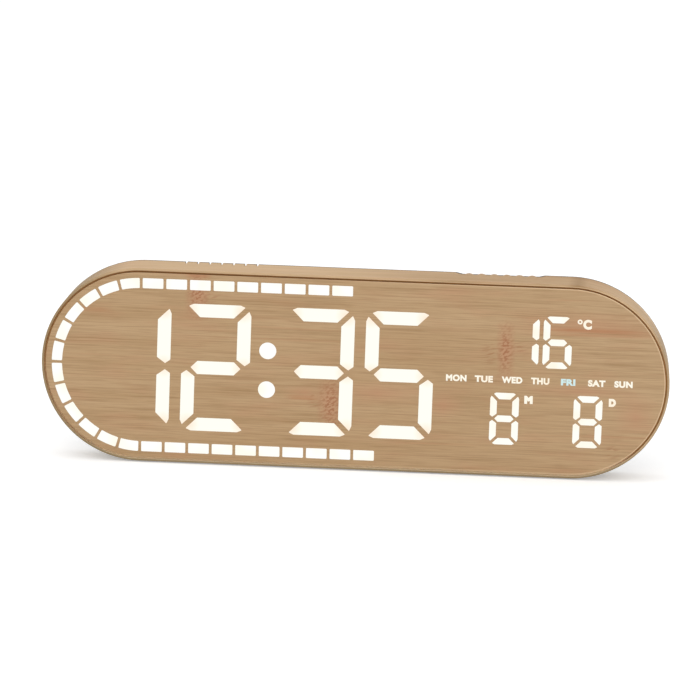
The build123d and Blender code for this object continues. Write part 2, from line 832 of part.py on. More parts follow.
    # Coin cell pocket with the ledge and groove of the quarter-turn cap
    with BuildSketch(level(case_depth)):
        with Locations((cell_x, cell_z)):
            Circle(cap_radius + cap_clearance)
    extrude(amount=cap_thickness, mode=Mode.SUBTRACT)
    with BuildSketch(level(cap_recess_back)):
        with Locations((cell_x, cell_z)):
            Circle(skirt_radius + cap_clearance)
        add([sector_face((cell_x, cell_z), cell_radius, groove_radius, start, entry_angle) for start in entry_starts])
    extrude(amount=cap_recess_back - groove_front, mode=Mode.SUBTRACT)
    with BuildSketch(level(ledge_front)):
        with Locations((cell_x, cell_z)):
            Circle(groove_radius)
    extrude(amount=ledge_front - groove_front, mode=Mode.SUBTRACT)
    with BuildSketch(level(groove_front)):
        with Locations((cell_x, cell_z)):
            Circle(cell_radius + cell_clearance)
        with Locations((leaf_x, cell_z)):
            Rectangle(contact_thickness + 2 * fit_clearance, contact_width + 2 * fit_clearance)
    extrude(amount=groove_front - cell_floor, mode=Mode.SUBTRACT)
    with BuildSketch(level(cell_floor)):
        with Locations(*contact_places):
            Rectangle(contact_thickness + 2 * fit_clearance, contact_width + 2 * fit_clearance)
    extrude(amount=pocket_wall, mode=Mode.SUBTRACT)
    # Power inlet
    with BuildSketch(level(case_depth)):
        with Locations((socket_x, socket_z)):
            RectangleRounded(inlet_width, inlet_height, inlet_round)
    extrude(amount=inlet_depth, mode=Mode.SUBTRACT)
    with BuildSketch(level(inlet_floor)):
        with Locations((socket_x, socket_z)):
            RectangleRounded(
                socket_width + 2 * fit_clearance, socket_height + 2 * fit_clearance, socket_corner + fit_clearance
            )
    extrude(amount=pocket_wall, mode=Mode.SUBTRACT)
    # Recesses of the feet, open at the bottom, each with a lug under its hinge
    for depth, half_length, middle_x in foot_cups:
        with BuildSketch(level(frame_depth)):
            with Locations((-middle_x, foot_roof_top), (middle_x, foot_roof_top)):
                Rectangle(2 * half_length, foot_roof_top + case_radius, align=(Align.CENTER, Align.MAX))
        extrude(amount=frame_depth - depth)
    with BuildSketch(level(case_depth)):
        for side in (-1, 1):
            with Locations((side * (foot_pivot_x - foot_room / 2), foot_cut_z)):
                Rectangle(foot_room, foot_cut_height)
    extrude(amount=case_depth - foot_recess_front, mode=Mode.SUBTRACT)
    with BuildSketch(level(case_depth)):
        with Locations((-foot_pivot_x, foot_cut_z), (foot_pivot_x, foot_cut_z)):
            Rectangle(2 * barrel_room, foot_cut_height)
    extrude(amount=foot_pivot_from_back, mode=Mode.SUBTRACT)
    with BuildSketch(Plane.XY.offset(middle_z + foot_recess_top)):
        with Locations(*hinge_places):
            Circle(barrel_room)
    extrude(amount=-foot_cut_height, mode=Mode.SUBTRACT)
    with BuildSketch(Plane.XY.offset(pad_height)):
        with Locations(*hinge_places):
            Circle(hinge_lug_radius)
            Rectangle(2 * hinge_lug_radius, barrel_room, align=(Align.CENTER, Align.MAX))
    extrude(amount=hinge_lug_height)
    with BuildSketch(Plane.XY.offset(middle_z - case_radius)):
        with Locations(*hinge_places):
            Circle(hinge_pin_radius)
    extrude(amount=hinge_pin_top + case_radius, mode=Mode.SUBTRACT)

with BuildPart() as case_screws:
    with BuildSketch(level(case_depth - case_screw_sunk)):
        with Locations(*case_screw_places):
            Circle(case_screw_head_radius)
    extrude(amount=case_screw_cone_height, taper=case_screw_cone_angle)
    with BuildSketch(level(case_depth - case_screw_sunk)):
        with Locations(*case_screw_places):
            Circle(case_screw_radius)
    extrude(amount=case_screw_length)
    with BuildSketch(level(case_depth - case_screw_sunk)):
        with Locations(*case_screw_places):
            Rectangle(cross_slot_length, cross_slot_width)
            Rectangle(cross_slot_width, cross_slot_length)
    extrude(amount=cross_slot_depth, mode=Mode.SUBTRACT)

with BuildPart() as rubber_pads:
    with BuildSketch():
        for x, length in ((long_pad_x, long_pad_length), (short_pad_x, short_pad_length)):
            with Locations((-x, 0), (x, 0)):
                RectangleRounded(length, pad_width, pad_round)
    extrude(amount=pad_height)

# Buttons: caps, the plungers that they press, the switches and their board
button_caps = []
switch_plungers = []
for x in button_places:
    with BuildPart() as button_cap:
        with BuildSketch(level(button_from_front + button_depth / 2)):
            with BuildLine():
                half = button_width / 2
                flange_half = button_flange_width / 2
                dome = ThreePointArc((x + half, button_shoulder), (x, button_top), (x - half, button_shoulder))
                Polyline(
                    dome @ 1,
                    (x - half, flange_top),
                    (x - flange_half, flange_top),
                    (x - flange_half, flange_bottom),
                    (x + flange_half, flange_bottom),
                    (x + flange_half, flange_top),
                    (x + half, flange_top),
                    dome @ 0,
                )
            make_face()
        extrude(amount=button_depth)
        fillet(button_cap.edges().filter_by(GeomType.CIRCLE), button_edge_round)
    button_caps.append(button_cap)
    with BuildPart() as switch_plunger:
        with BuildSketch(Plane.XY.offset(middle_z + flange_bottom)):
            with Locations((x, front_y + button_from_front)):
                Circle(plunger_radius)
        extrude(amount=-plunger_reach - plunger_sunk)
    switch_plungers.append(switch_plunger)

with BuildPart() as button_switches:
    with BuildSketch(Plane.XY.offset(middle_z + switch_bottom)):
        with Locations(*[(x, front_y + button_from_front) for x in button_places]):
            Rectangle(switch_width, switch_depth)
    extrude(amount=switch_height)
    with BuildSketch(Plane.XY.offset(middle_z + switch_top)):
        with Locations(*[(x, front_y + button_from_front) for x in button_places]):
            Circle(plunger_radius + plunger_clearance)
    extrude(amount=-switch_bore_depth, mode=Mode.SUBTRACT)

with BuildPart() as button_board:
    with BuildSketch(Plane.XY.offset(middle_z + button_board_bottom)):
        with Locations((button_middle_x, front_y + button_board_back)):
            Rectangle(2 * button_board_half, button_board_depth, align=(Align.CENTER, Align.MAX))
    extrude(amount=button_board_thickness)

with BuildPart() as ribbon_cable:
    with BuildSketch(Plane.YZ.offset(ribbon_x)):
        with BuildLine():
            FilletPolyline(
                (front_y + ribbon_depth, middle_z + button_board_bottom),
                (front_y + ribbon_depth, middle_z + connector_z),
                (front_y + board_back + connector_depth, middle_z + connector_z),
                radius=ribbon_bend,
            )
        trace(line_width=ribbon_thickness)
    extrude(amount=ribbon_width / 2, both=True)

# Coin cell, its contacts and the quarter-turn cap
with BuildPart() as coin_cell:
    with BuildSketch(level(cell_back)):
        with Locations((cell_x, cell_z)):
            Circle(cell_radius)
    extrude(amount=cell_thickness)
    fillet(coin_cell.edges(), cell_round)

with BuildPart() as battery_contacts:
    with BuildSketch(level(cell_front)):
        with Locations((cell_x, cell_z)):
            Rectangle(strip_length + contact_thickness, contact_width)
    extrude(amount=contact_thickness)
    with BuildSketch(level(cell_front)):
        with Locations((strip_leg_x, cell_z)):
            Rectangle(contact_thickness, contact_width)
    extrude(amount=cell_front - board_back)
    with BuildSketch(level(groove_front)):
        with Locations((leaf_x, cell_z)):
            Rectangle(contact_thickness, contact_width)
    extrude(amount=groove_front - board_back)

with BuildPart() as battery_cap:
    with BuildSketch(level(case_depth)):
        with Locations((cell_x, cell_z)):
            Circle(cap_radius)
    extrude(amount=case_depth - cap_front)
    with BuildSketch(level(cap_front)):
        with Locations((cell_x, cell_z)):
            Circle(skirt_radius)
            Circle(skirt_radius - skirt_thickness, mode=Mode.SUBTRACT)
    extrude(amount=cap_front - lug_front)
    with BuildSketch(level(lug_back)):
        for start in (0, 180):
            lug_start = start - lug_angle / 2
            add(sector_face((cell_x, cell_z), skirt_radius - skirt_thickness / 2, lug_radius, lug_start, lug_angle))
    extrude(amount=lug_thickness)
    with BuildSketch(level(case_depth)):
        with Locations((cell_x, cell_z)):
            SlotOverall(coin_slot_length, coin_slot_width)
    extrude(amount=coin_slot_depth, mode=Mode.SUBTRACT)

# Feet that swing out of the rear cover about upright pins
feet = {}
for node, side, tip in (("foot_left", -1, -1), ("foot_right", 1, 0)):
    with BuildPart() as foot:
        with BuildSketch(level(foot_back)):
            with Locations((side * (foot_pivot_x - foot_length / 2), (foot_bottom + foot_top) / 2)):
                Rectangle(foot_length, foot_height)
        extrude(amount=foot_thickness)
        fillet(foot.edges().filter_by(Axis.Y).group_by(Axis.X)[tip], foot_tip_round)
        with BuildSketch(Plane.XY.offset(middle_z + foot_top)):
            with Locations((side * foot_pivot_x, front_y + foot_pivot_depth)):
                Circle(foot_barrel_radius)
        extrude(amount=-foot_height)
        with BuildSketch(Plane.XY.offset(middle_z + barrel_bottom)):
            with Locations((side * foot_pivot_x, front_y + foot_pivot_depth)):
                Rectangle(2 * (hinge_lug_radius + foot_side_clearance), 2 * (barrel_room + foot_side_clearance))
        extrude(amount=-foot_height, mode=Mode.SUBTRACT)
        with BuildSketch(Plane.XY.offset(middle_z + foot_top)):
            with Locations((side * foot_pivot_x, front_y + foot_pivot_depth)):
                Circle(hinge_pin_radius + hinge_pin_clearance)
        extrude(amount=-foot_height, mode=Mode.SUBTRACT)
    feet[node] = foot

with BuildPart() as hinge_pins:
    with BuildSketch(Plane.XY.offset(middle_z + hinge_pin_bottom)):
        with Locations(*hinge_places):
            Circle(hinge_pin_radius)
    extrude(amount=hinge_pin_top - hinge_pin_bottom)

nodes = {
    "front_frame": front_frame,
    "rear_cover": rear_cover,
    "face_film": face_film,
    "front_plate": front_plate,
    **window_pieces,
    "diffuser_sheet": diffuser_sheet,
    "light_mask": light_mask,
    "led_board": led_board,
    **led_pieces,
    "board_screws": board_screws,
    "controller_chip": controller_chip,
    "clock_crystal": clock_crystal,
    "sounder": sounder,
    "temperature_sensor": temperature_sensor,
    "board_connector": board_connector,
    "usb_socket": usb_socket,
    "case_screws": case_screws,
    "rubber_pads": rubber_pads,
    "button_switches": button_switches,
    "button_board": button_board,
    "ribbon_cable": ribbon_cable,
    "coin_cell": coin_cell,
    "battery_contacts": battery_contacts,
    "battery_cap": battery_cap,
    **feet,
    "hinge_pins": hinge_pins,
}
for index, (button_cap, switch_plunger) in enumerate(zip(button_caps, switch_plungers), start=1):
    nodes[f"button_cap_{index}"] = button_cap
    nodes[f"switch_plunger_{index}"] = switch_plunger

for name, node in nodes.items():
    node.part.label = name
    export_step(node.part, f"parts/{name}.step")
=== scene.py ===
import bpy
import bmesh
from math import cos, radians, sin
from mathutils import Matrix, Vector


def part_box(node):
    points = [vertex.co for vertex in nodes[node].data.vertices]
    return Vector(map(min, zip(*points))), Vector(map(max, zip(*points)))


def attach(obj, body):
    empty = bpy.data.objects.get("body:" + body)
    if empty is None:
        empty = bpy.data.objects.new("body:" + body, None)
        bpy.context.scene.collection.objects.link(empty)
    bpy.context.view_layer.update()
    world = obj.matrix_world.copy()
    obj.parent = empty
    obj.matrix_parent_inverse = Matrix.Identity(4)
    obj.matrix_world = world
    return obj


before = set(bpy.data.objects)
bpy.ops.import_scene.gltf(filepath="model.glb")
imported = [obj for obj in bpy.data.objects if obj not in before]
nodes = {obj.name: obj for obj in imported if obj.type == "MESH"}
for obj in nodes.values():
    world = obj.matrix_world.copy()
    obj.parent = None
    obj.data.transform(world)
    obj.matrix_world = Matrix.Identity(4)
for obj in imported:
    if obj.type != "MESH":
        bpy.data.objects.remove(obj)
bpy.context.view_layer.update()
mm = 0.001

print("stage: camera")
camera = {
    "azimuth": 5.2,            # degrees to the object's right
    "elevation": 14.55,
    "roll": 1.0,               # the camera leans, so the clock runs down to the right
    "distance": 4.1373,        # metres to the point it looks at
    "aim": (-0.0029, -0.01175, 0.07537),    # that point, a little above the middle of the face
    "lens": 353.54,            # long lens, so nearly no perspective
    "sensor": 36.0,
    "farEnd": 50.0,
}
azimuth, elevation, roll = (radians(camera[name]) for name in ("azimuth", "elevation", "roll"))
back = Vector((sin(azimuth) * cos(elevation), -cos(azimuth) * cos(elevation), sin(elevation)))
level = Vector((cos(azimuth), sin(azimuth), 0))
right = Matrix.Rotation(roll, 3, back) @ level
turn = Matrix((right, back.cross(right), back)).transposed().to_4x4()
cameraData = bpy.data.cameras.new("camera")
cameraData.lens = camera["lens"]
cameraData.sensor_width = camera["sensor"]
cameraData.clip_end = camera["farEnd"]
cameraObject = bpy.data.objects.new("camera", cameraData)
cameraObject.matrix_world = Matrix.Translation(Vector(camera["aim"]) + back * camera["distance"]) @ turn
bpy.context.scene.collection.objects.link(cameraObject)
bpy.context.scene.camera = cameraObject
bpy.context.scene.view_settings.view_transform = "Standard"


def fromHex(code):
    parts = [int(code[i:i + 2], 16) / 255 for i in (1, 3, 5)]
    return tuple(p / 12.92 if p <= 0.04045 else ((p + 0.055) / 1.055) ** 2.4 for p in parts) + (1.0,)


def startMaterial(name):
    material = bpy.data.materials.new(name)
    material.use_nodes = True
    material.node_tree.nodes.clear()
    return material


def addNode(owner, kind, inputs=None, take=0, **settings):
    # one node with its settings; each socket is set or linked, and the output asked for comes back
    tree = owner.node_tree
    node = tree.nodes.new("ShaderNode" + kind)
    for name, value in settings.items():
        setattr(node, name, value)
    for socket, value in (inputs or {}).items():
        if isinstance(value, bpy.types.NodeSocket):
            tree.links.new(value, node.inputs[socket])
        else:
            node.inputs[socket].default_value = value
    return node.outputs[take] if node.outputs else None


def dress(names, material):
    for name in names:
        data = nodes[name].data
        data.materials.clear()
        data.materials.append(material)


print("stage: bamboo film")
film = {
    "base": "#B79771",
    "pale": "#BFA07B",
    "dark": "#8F6F49",
    "pink": "#BD8C6C",
    "red": "#B07450",
    "speck": "#9C6546",
    "edge": "#F4D6AE",         # pale colour of the painted highlights, also laid thinly for the paler parts of the side wall
    "shade": "#8A795A",        # painted shade: the film made greyer at the ends and underneath
    "roughness": 0.55,         # satin print under a clear coat of vinyl
    "ior": 1.46,
    "gloss": 0.15,
    "relief": 0.015,           # millimetres
    "bump": 0.3,
    # marks of the print: length and height in millimetres, and detail of the noise
    "broad": (150.0, 11.0, 2.0),
    "cloud": (40.0, 9.0, 2.0),
    "grain": (110.0, 1.3, 3.0),
    "streak": (110.0, 2.2, 3.0),
    "ray": (9.0, 1.3, 2.0),
    "speckle": (2.6, 1.3, 3.0),
    "fibre": (48.0, 0.8, 3.0),     # real fibres are about 0.2 mm thick; drawn as coarse as they need to show
    "thread": (15.0, 0.7, 2.0),    # shorter fibres, coarser than real ones too
    "layers": [                # colour, its marks, the noise values where they start and are full, and share
        ("pale", "broad", 0.35, 0.65, 1.0),
        ("pink", "cloud", 0.5, 0.75, 0.35),
        ("dark", "grain", 0.5, 0.75, 0.36),
        ("pale", "grain", 0.45, 0.28, 0.4),
        ("dark", "fibre", 0.48, 0.7, 0.42),
        ("dark", "thread", 0.5, 0.75, 0.3),
        ("red", "streak", 0.6, 0.75, 0.25),
    ],
    "paleEnd": (30, 150),      # right of its middle the face grows paler from here to there
}
faceLow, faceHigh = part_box("face_film")
faceMiddle = (faceLow + faceHigh) / 2
frameLow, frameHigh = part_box("front_frame")
panelRadius = (faceHigh.z - faceLow.z) / 2
halfStraight = (faceHigh.x - faceLow.x) / 2 - panelRadius


def fromFaceMiddle(owner, axis):
    # X and Z are counted from the middle of the face, and Y backwards from the front of the rim
    place = addNode(owner, "TexCoord", take="Object")
    start = (faceMiddle.x, frameLow.y, faceMiddle.z)
    moved = addNode(owner, "VectorMath", {0: place, 1: start}, operation="SUBTRACT")
    return addNode(owner, "SeparateXYZ", {"Vector": moved}, take=axis)


def overlap(owner, share, *masks):
    # the share counts only where all the masks are
    for mask in masks:
        share = addNode(owner, "Math", {0: mask, 1: share}, operation="MULTIPLY")
    return share


def layOver(owner, under, over, share, *masks):
    amount = overlap(owner, share, *masks)
    return addNode(owner, "MixRGB", {"Fac": amount, "Color1": under, "Color2": over})


def grainMarks(owner, marks, start, full, slant=0, side=False):
    # marks drawn out along the grain, which on the side wall runs round the clock
    length, height, detail = film[marks]
    along, over = 1 / (length * mm), 1 / (height * mm)
    place = addNode(owner, "TexCoord", take="Object")
    if slant:
        place = addNode(owner, "Mapping", {"Vector": place, "Rotation": (0, radians(slant), 0)})
    scale = (along, over, along) if side else (along, 0, over)
    laid = addNode(owner, "Mapping", {"Vector": place, "Scale": scale})
    noise = addNode(owner, "TexNoise", {"Vector": laid, "Scale": 1.0, "Detail": detail})
    return addNode(owner, "MapRange", {"Value": noise, "From Min": start, "From Max": full})


def fadeAlong(owner, axis, start, full):
    # grows from 0 to 1 between two places along an axis, in millimetres
    place = fromFaceMiddle(owner, axis)
    return addNode(owner, "MapRange", {"Value": place, "From Min": start * mm, "From Max": full * mm})


def fadeOutwards(owner, start, full):
    # grows from 0 to 1 between two distances from the middle line of the capsule, in metres
    past = addNode(owner, "Math", {0: fromFaceMiddle(owner, "X")}, operation="ABSOLUTE")
    past = addNode(owner, "Math", {0: past, 1: halfStraight}, operation="SUBTRACT")
    past = addNode(owner, "Math", {0: past, 1: 0.0}, operation="MAXIMUM")
    flat = addNode(owner, "CombineXYZ", {"X": past, "Z": fromFaceMiddle(owner, "Z")})
    distance = addNode(owner, "VectorMath", {0: flat}, take="Value", operation="LENGTH")
    return addNode(owner, "MapRange", {"Value": distance, "From Min": start, "From Max": full})


def patchMask(owner, patches, soft):
    # patches whose edges fade inwards over the soft share of their half size
    across, upwards = fromFaceMiddle(owner, "X"), fromFaceMiddle(owner, "Z")
    total = 0.0
    for x, z, halfWidth, halfHeight in patches:
        sides = []
        for place, middle, half in ((across, x, halfWidth), (upwards, z, halfHeight)):
            away = addNode(owner, "Math", {0: place, 1: middle * mm}, operation="SUBTRACT")
            away = addNode(owner, "Math", {0: away}, operation="ABSOLUTE")
            limits = {"From Min": half * mm, "From Max": (1 - soft) * half * mm}
            sides.append(addNode(owner, "MapRange", {"Value": away, **limits}))
        patch = overlap(owner, 1.0, *sides)
        total = addNode(owner, "Math", {0: patch, 1: total}, operation="MAXIMUM")
    return total


def bambooColour(owner, side):
    colour = fromHex(film["base"])
    for name, marks, start, full, share in film["layers"]:
        mask = grainMarks(owner, marks, start, full, side=side)
        if marks == "broad" and not side:
            paleEnd = fadeAlong(owner, "X", *film["paleEnd"])
            mask = addNode(owner, "Math", {0: mask, 1: paleEnd}, operation="MAXIMUM")
        colour = layOver(owner, colour, fromHex(film[name]), share, mask)
    return colour


def filmShader(owner, colour, side):
    relief = grainMarks(owner, "fibre", 0, 1, side=side)
    bump = addNode(owner, "Bump", {
        "Height": relief, "Strength": film["bump"], "Distance": film["relief"] * mm,
    })
    shader = addNode(owner, "BsdfPrincipled", {
        "Base Color": colour, "Roughness": film["roughness"], "IOR": film["ior"],
        "Specular IOR Level": film["gloss"], "Normal": bump,
    })
    addNode(owner, "OutputMaterial", {"Surface": shader})


# Printed vinyl film over the plate: satin, with a fine even grain along the clock and a few pinkish knots
panel = {                      # patches: middle and half sizes, in millimetres from the face's middle
    "stains": [                # broad pinkish washes
        (14.0, -11.5, 30.0, 8.0),
        (54.0, -18.0, 14.0, 8.0),
        (-30.0, -13.0, 14.0, 5.0),
        (140.0, 36.0, 48.0, 9.0),
        (138.0, -5.5, 36.0, 5.0),
        (170.0, -20.0, 14.0, 12.0),
    ],
    "blushes": [               # reddish streaks along the grain
        (146.0, 31.4, 42.0, 3.2),
        (-160.0, 33.5, 14.0, 2.0),
        (-31.0, -16.4, 12.0, 1.8),
        (-95.0, 57.0, 9.0, 2.5),
    ],
    "seams": [                 # thin dark lines where two strips of the print meet
        (88.0, 40.0, 46.0, 0.35),
        (-123.0, 35.0, 24.0, 0.3),
        (150.0, 30.6, 22.0, 0.3),
        (30.0, -24.5, 40.0, 0.25),
    ],
    "knots": [                 # speckled bands across the cane
        (-95.5, 45.0, 8.0, 18.0),
        (-14.0, -19.5, 9.0, 20.0),
        (91.0, 18.5, 6.0, 20.0),
    ],
    "fans": [                  # short flecks beside the knots
        (82.0, 16.5, 8.0, 11.0),
        (-24.0, -17.5, 6.0, 10.0),
        (99.0, 19.0, 6.0, 7.0),
        (-87.0, 45.0, 6.0, 8.0),
        (156.0, -42.0, 9.0, 7.0),
    ],
    "features": [              # colour, share, patches, softness, and marks that fill them: range and slant
        ("pink", 0.6, "stains", 1.0, None),
        ("red", 0.62, "blushes", 0.6, ("streak", 0.25, 0.6)),
        ("dark", 0.45, "seams", 0.6, None),
        ("pink", 0.6, "knots", 0.8, None),
        ("speck", 0.7, "knots", 0.8, ("speckle", 0.46, 0.56, 25)),
        ("speck", 0.5, "fans", 0.9, ("ray", 0.52, 0.62, 12)),
    ],
    "edge": 0.8,               # width of the painted highlight, a pale line along its border, in millimetres
    "edgeShare": 0.85,
    "edgeFade": ("X", -60, 150),
}
faceFilm = startMaterial("bamboo print vinyl film, face")
faceColour = bambooColour(faceFilm, side=False)
for name, share, patches, soft, marks in panel["features"]:
    masks = [patchMask(faceFilm, panel[patches], soft)]
    if marks:
        masks.append(grainMarks(faceFilm, *marks))
    faceColour = layOver(faceFilm, faceColour, fromHex(film[name]), share, *masks)
# painted highlight: a pale line along the border of the face, fading in from left of the middle towards the
# right end
faceColour = layOver(
    faceFilm, faceColour, fromHex(film["edge"]), panel["edgeShare"],
    fadeOutwards(faceFilm, panelRadius - panel["edge"] * mm, panelRadius),
    fadeAlong(faceFilm, *panel["edgeFade"]),
)
filmShader(faceFilm, faceColour, side=False)
dress(["face_film"], faceFilm)

# The same film wrapped round the side wall, with a painted highlight on the rim's inner round and painted
# shade, greyer, at the ends and underneath.
# Inside the rim is bare brown moulding, painted paler than it is and paler still low down; it shows as a thin
# dark line round the face
wrapped = {                    # a fade is an axis, and where it starts and is full, in millimetres
    "brightTones": [           # colour, share and fades: the highlight colour laid thinly, paler from left of the middle to near the left end, and at the right end
        ("edge", 0.25, ("X", 60, -30), ("X", -165, -140)),
        ("edge", 0.25, ("X", 135, 160)),
    ],
    "darkPatch": (133.0, 60.0, 6.0, 20.0),     # a darker place in the print
    "darkSoft": 0.9,
    "darkShare": 0.5,
    "rim": 1.35,               # its width
    "rimHighlight": (0.7, 0.2),     # its painted highlight, a pale line, starts and is full at these distances from its inside
    "rimHighlightShare": 0.6,
    "rimHighlightFades": [("X", -130, 150), ("X", 186, 176)],
    # painted shade: greyer at the left end, the right end and underneath
    "shadeTones": [
        ("shade", 0.6, ("X", -140, -172)),
        ("shade", 0.4, ("X", 176, 186)),
        ("shade", 0.8, ("Z", -25, -54)),
    ],
    # the brown moulding inside the rim, painted paler than its own colour so the deep, shaded gap still shows
    # brown: painted light
    "gapColour": "#C0905A",
    "gapPaintedLight": "#FFEBC6",       # painted light: underneath and at the lower left the moulding is painted paler still
    "gapAcross": (0.25, 0.05),     # it starts and is full at these distances from the rim's inside
    "gapBehind": ("Y", 0.05, 0.3),
    "gapLightUnder": ("Z", -42, -55),
    "gapLightLeft": [("Z", 10, -50), ("X", -120, -150)],
    "gapLightLeftShare": 0.6,
}
rimInside = (frameHigh.z - frameLow.z) / 2 - wrapped["rim"] * mm


def toned(owner, colour, tones):
    for name, share, *fades in tones:
        masks = [fadeAlong(owner, *fade) for fade in fades]
        colour = layOver(owner, colour, fromHex(film[name]), share, *masks)
    return colour


frameFilm = startMaterial("bamboo print vinyl film, wrapped")
frameColour = toned(frameFilm, bambooColour(frameFilm, side=True), wrapped["brightTones"])
frameColour = layOver(
    frameFilm, frameColour, fromHex(film["dark"]), wrapped["darkShare"],
    patchMask(frameFilm, [wrapped["darkPatch"]], wrapped["darkSoft"]),
)
# painted highlight: a pale line on the rim's inner round, growing towards the right and gone at the right end
frameColour = layOver(
    frameFilm, frameColour, fromHex(film["edge"]), wrapped["rimHighlightShare"],
    fadeOutwards(frameFilm, *(rimInside + away * mm for away in wrapped["rimHighlight"])),
    *(fadeAlong(frameFilm, *fade) for fade in wrapped["rimHighlightFades"]),
)
frameColour = toned(frameFilm, frameColour, wrapped["shadeTones"])
# painted light in the gap: paler underneath and at the lower left
paintedLightUnder = fadeAlong(frameFilm, *wrapped["gapLightUnder"])
paintedLightLeft = overlap(
    frameFilm, wrapped["gapLightLeftShare"], *(fadeAlong(frameFilm, *fade) for fade in wrapped["gapLightLeft"])
)
low = addNode(frameFilm, "Math", {0: paintedLightUnder, 1: paintedLightLeft}, operation="MAXIMUM")
gapTone = layOver(frameFilm, fromHex(wrapped["gapColour"]), fromHex(wrapped["gapPaintedLight"]), 1.0, low)
frameColour = layOver(
    frameFilm, frameColour, gapTone, 1.0,
    fadeOutwards(frameFilm, *(rimInside + away * mm for away in wrapped["gapAcross"])),
    fadeAlong(frameFilm, *wrapped["gapBehind"]),
)
filmShader(frameFilm, frameColour, side=True)
dress(["front_frame"], frameFilm)

print("stage: lit windows")
lit = {
    "time": ("#FFFFF4", "#FFEED8"),        # the middle of a stroke, and its ends where the light falls off
    "ring": ("#FFFFFC", "#FFFDEE"),
    "small": ("#FFFFF6", "#FFF8E6"),
    "words": ("#FFFAEA", "#FFF1DA"),
    "patch": 14.0,             # size of the warmer patches, in millimetres
    "patchDetail": 1.0,
    "patchRange": (0.45, 0.7),     # the noise values where they start and are full
    "strength": 1.0,
    "body": "#1A1A18",         # what the unlit plastic adds to the glow
    "roughness": 0.5,
    "ior": 1.58,
    "gloss": 0.1,
}
corners = {                    # where the strokes of the big digits meet, in millimetres
    "middle": -52.9,
    "pair": 55.5,              # from the colon to the middle of each pair of digits
    "half": 24.15,
    "column": 16.7,            # from a digit's middle to its upright strokes
    "row": 35.4,
    "reach": (7.5, 1.5),       # the warm tone starts and is full at these distances
}


def litMaterial(name, colours, atTips=False):
    # moulded opal plastic with the lamps on behind it: a flat bright glow, a little warmer away from them
    material = startMaterial(name)
    if atTips:                 # the face is folded over until the corners of all the digits lie on one point
        sideways = fromFaceMiddle(material, "X")
        for fold in ("middle", "pair", "half", "column"):
            sideways = addNode(material, "Math", {0: sideways, 1: corners[fold] * mm}, operation="SUBTRACT")
            sideways = addNode(material, "Math", {0: sideways}, operation="ABSOLUTE")
        upwards = addNode(material, "Math", {0: fromFaceMiddle(material, "Z")}, operation="ABSOLUTE")
        outer = addNode(material, "Math", {0: upwards, 1: corners["row"] * mm}, operation="SUBTRACT")
        outer = addNode(material, "Math", {0: outer}, operation="ABSOLUTE")
        upwards = addNode(material, "Math", {0: upwards, 1: outer}, operation="MINIMUM")
        flat = addNode(material, "CombineXYZ", {"X": sideways, "Y": upwards})
        value = addNode(material, "VectorMath", {0: flat}, take="Value", operation="LENGTH")
        start, full = (away * mm for away in corners["reach"])
    else:
        place = addNode(material, "TexCoord", take="Object")
        value = addNode(material, "TexNoise", {
            "Vector": place, "Scale": 1 / (lit["patch"] * mm), "Detail": lit["patchDetail"],
        })
        start, full = lit["patchRange"]
    warmth = addNode(material, "MapRange", {"Value": value, "From Min": start, "From Max": full})
    glow = layOver(material, fromHex(colours[0]), fromHex(colours[1]), 1.0, warmth)
    shader = addNode(material, "BsdfPrincipled", {
        "Base Color": fromHex(lit["body"]), "Roughness": lit["roughness"], "IOR": lit["ior"],
        "Specular IOR Level": lit["gloss"], "Emission Color": glow, "Emission Strength": lit["strength"],
    })
    addNode(material, "OutputMaterial", {"Surface": shader})
    return material


dress(["time_digits"], litMaterial("opal polycarbonate, time", lit["time"], atTips=True))
dress(["seconds_ring", "colon_dots"], litMaterial("opal polycarbonate, ring and dots", lit["ring"]))
smallLit = litMaterial("opal polycarbonate, small windows", lit["small"])
dress(["temperature_digits", "month_digit", "day_digit"], smallLit)

print("stage: lettering")
lettering = {                  # sizes and places in millimetres
    "week": ["MON", "TUE", "WED", "THU", "FRI", "SAT", "SUN"],
    "weekPlaces": [61.55, 78.2, 95.2, 112.2, 129.0, 146.2, 162.3],
    "weekZ": -0.1,
    "weekHeight": 4.1,
    "weekWidths": [12.4, 11.0, 12.5, 11.0, 8.7, 10.5, 11.0],
    "bolder": 0.055,           # the strokes of the plain typeface grow by this share of its size on each side
    "today": "FRI",
    "todayColour": ("#DEF2F3", "#CFEAE9"),
    "captions": [              # piece, letter, its middle, height and width, and how much bolder it is
        ("month_caption", "M", 105.4, -12.0, 5.0, 5.1, 0.09),
        ("day_caption", "D", 155.9, -11.75, 5.0, 4.3, 0.09),
        ("celsius_caption", "C", 139.8, 36.1, 6.1, 5.2, 0.065),
    ],
    "thick": 0.1,
    "depth": 0.02,             # of the typeface, before it gets its real thickness
    "bevelSteps": 1,
    "spacing": 1.1,
}


def onFace(piece, material):
    piece.data.materials.clear()
    piece.data.materials.append(material)
    bpy.context.scene.collection.objects.link(piece)
    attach(piece, "case")


